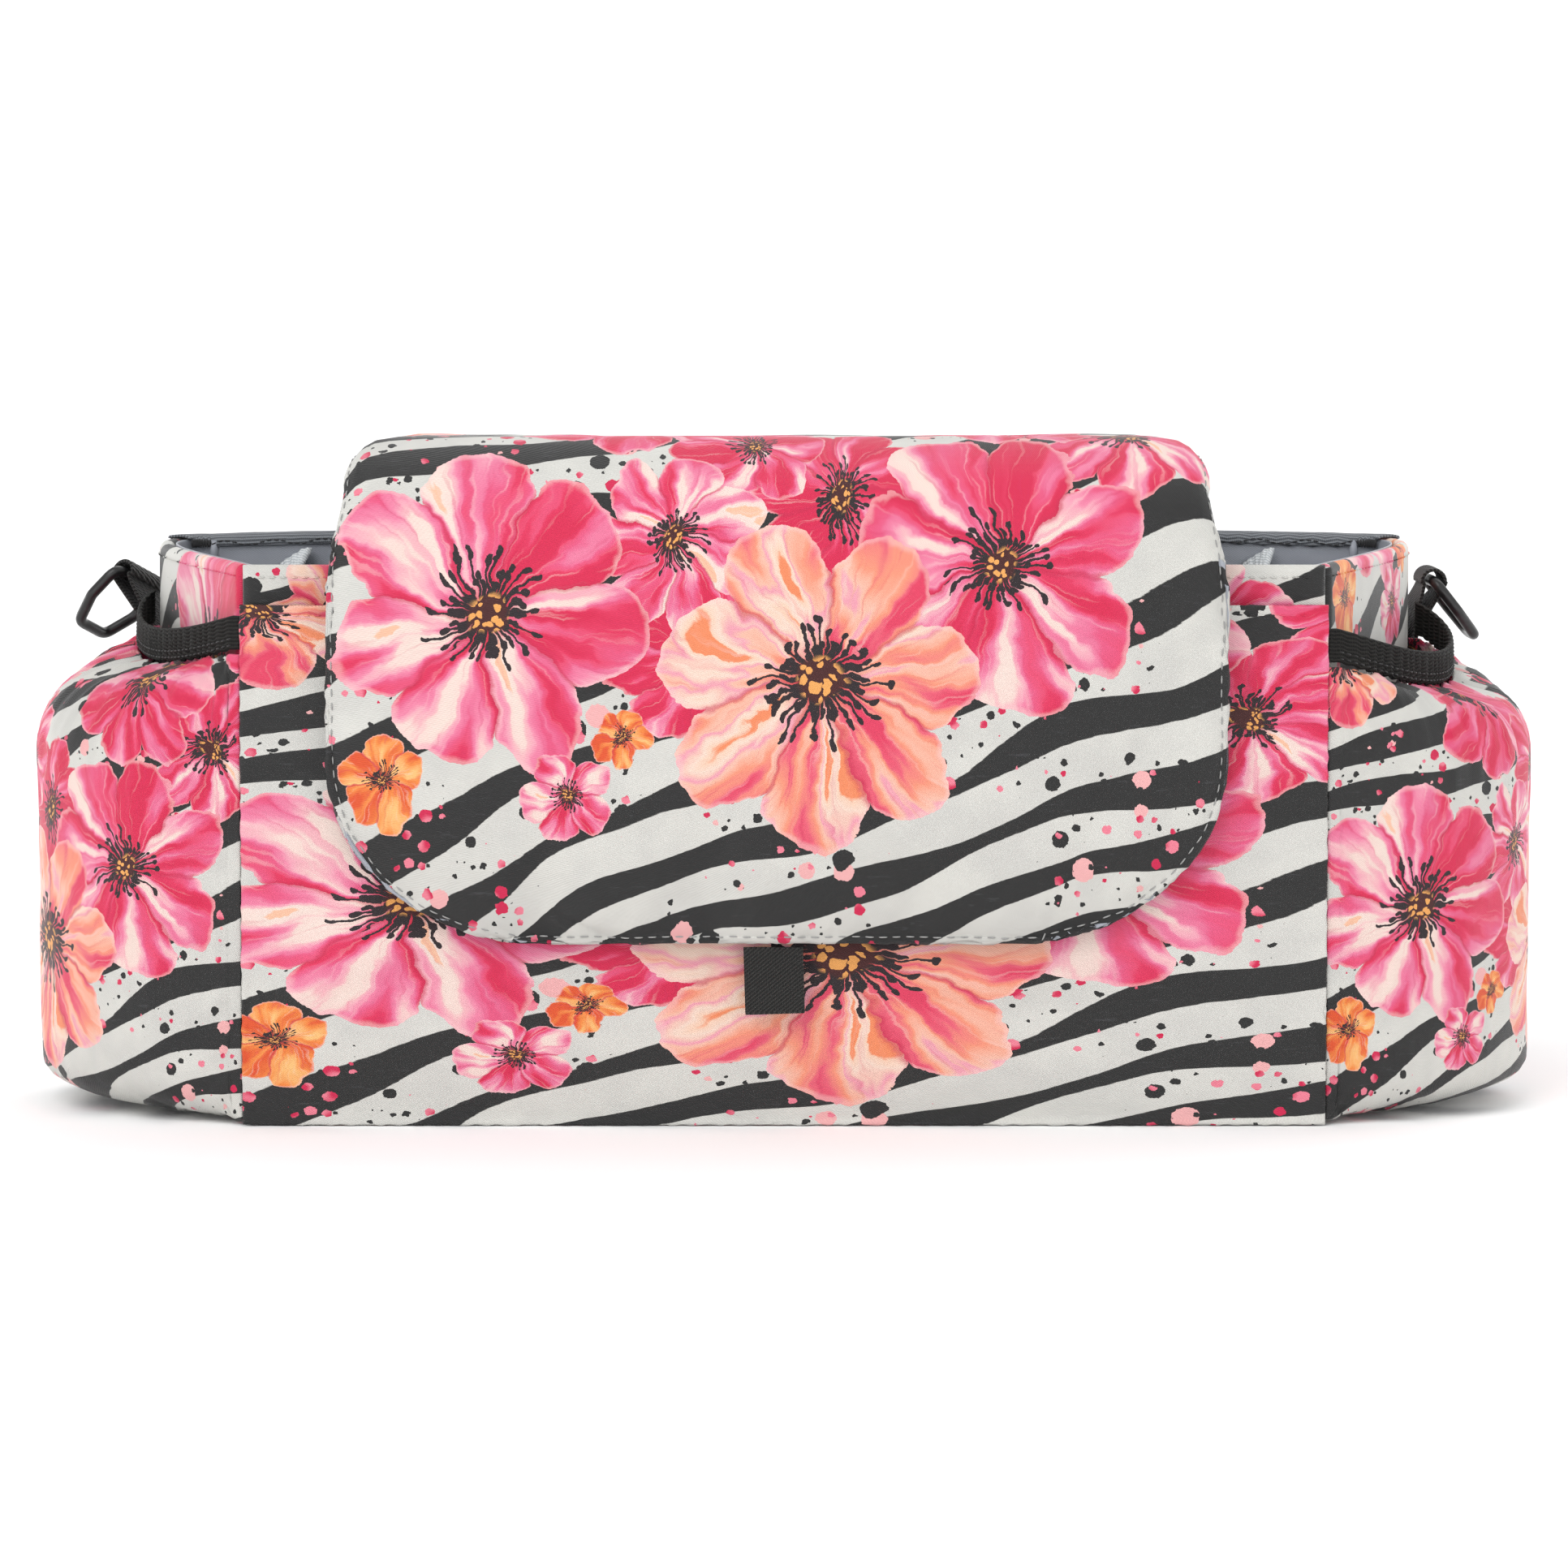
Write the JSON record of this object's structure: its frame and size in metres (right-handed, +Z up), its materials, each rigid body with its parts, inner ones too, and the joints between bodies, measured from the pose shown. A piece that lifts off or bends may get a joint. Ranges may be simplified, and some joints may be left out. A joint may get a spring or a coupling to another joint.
{
  "type": "stroller diaper caddy",
  "caption": "Wide open-topped padded diaper caddy with an arched front flap, a slip pocket, bulging elastic end pockets, strap rings and stroller-handle straps.",
  "frame": {"origin": "under the middle of the caddy, on the surface it stands on", "axes": "+Z up, -Y out of the front with the flap, +X to the right seen from the front"},
  "size_m": [0.4254, 0.16, 0.1915],
  "materials": {
    "print_cloth": "printed polyester twill, soft sheen",
    "lining_cloth": "satin polyester lining",
    "light_tape": "ribbed woven tape",
    "dark_tape": "woven binding tape",
    "black_elastic": "ribbed knitted elastic",
    "black_webbing": "ribbed nylon webbing",
    "black_plastic": "moulded acetal, satin",
    "hook_and_loop": "hook-and-loop tape",
    "foam": "soft closed-cell foam",
    "board": "stiff polypropylene board"
  },
  "bodies": {
    "bag": {"front_panel": "print_cloth", "front_lining": "lining_cloth", "front_foam": "foam", "back_panel": "print_cloth", "back_lining": "lining_cloth", "back_foam": "foam", "left_end_panel": "print_cloth", "left_end_lining": "lining_cloth", "left_end_foam": "foam", "right_end_panel": "print_cloth", "right_end_lining": "lining_cloth", "right_end_foam": "foam", "base_panel": "print_cloth", "base_lining": "lining_cloth", "base_board": "board", "back_rim_binding": "dark_tape", "front_pocket": "print_cloth", "front_loop_patch": "hook_and_loop", "left_pocket": "print_cloth", "left_pocket_elastic": "black_elastic", "left_divider": "lining_cloth", "left_divider_tape": "light_tape", "left_ring_loop": "black_webbing", "left_strap_anchor": "black_webbing", "left_strap_loop_patch": "hook_and_loop", "right_pocket": "print_cloth", "right_pocket_elastic": "black_elastic", "right_divider": "lining_cloth", "right_divider_tape": "light_tape", "right_ring_loop": "black_webbing", "right_strap_anchor": "black_webbing", "right_strap_loop_patch": "hook_and_loop"},
    "flap": {"flap_outer": "print_cloth", "flap_foam": "foam", "flap_lining": "lining_cloth", "flap_hook_patch": "hook_and_loop"},
    "pull_tab": {"pull_tab": "black_webbing"},
    "left_d_ring": {"left_d_ring": "black_plastic"},
    "right_d_ring": {"right_d_ring": "black_plastic"},
    "left_stroller_strap": {"left_stroller_strap": "black_webbing", "left_strap_hook_patch": "hook_and_loop"},
    "right_stroller_strap": {"right_stroller_strap": "black_webbing", "right_strap_hook_patch": "hook_and_loop"}
  },
  "joints": [
    {"name": "flap_hinge", "type": "hinge", "parent": "bag", "child": "flap", "pos_m": [-0.002, 0.0643, 0.146], "axis": [-1, 0, 0], "range_deg": [0, 120]},
    {"name": "pull_tab_bend", "type": "hinge", "parent": "flap", "child": "pull_tab", "pos_m": [-0.003, -0.0778, 0.0512], "axis": [-1, 0, 0], "range_deg": [0, 90]},
    {"name": "left_ring_swing", "type": "hinge", "parent": "bag", "child": "left_d_ring", "pos_m": [-0.18965, 0.05408, 0.1445], "axis": [0.5185, 0.7687, -0.3746], "range_deg": [0, 120]},
    {"name": "right_ring_swing", "type": "hinge", "parent": "bag", "child": "right_d_ring", "pos_m": [0.18965, 0.05408, 0.1445], "axis": [0.0698, -0.9976, 0], "range_deg": [0, 120]},
    {"name": "left_strap_lift", "type": "hinge", "parent": "bag", "child": "left_stroller_strap", "pos_m": [-0.078, 0.0597, 0.106], "axis": [1, 0, 0], "range_deg": [0, 90]},
    {"name": "right_strap_lift", "type": "hinge", "parent": "bag", "child": "right_stroller_strap", "pos_m": [0.078, 0.0597, 0.106], "axis": [1, 0, 0], "range_deg": [0, 90]}
  ]
}
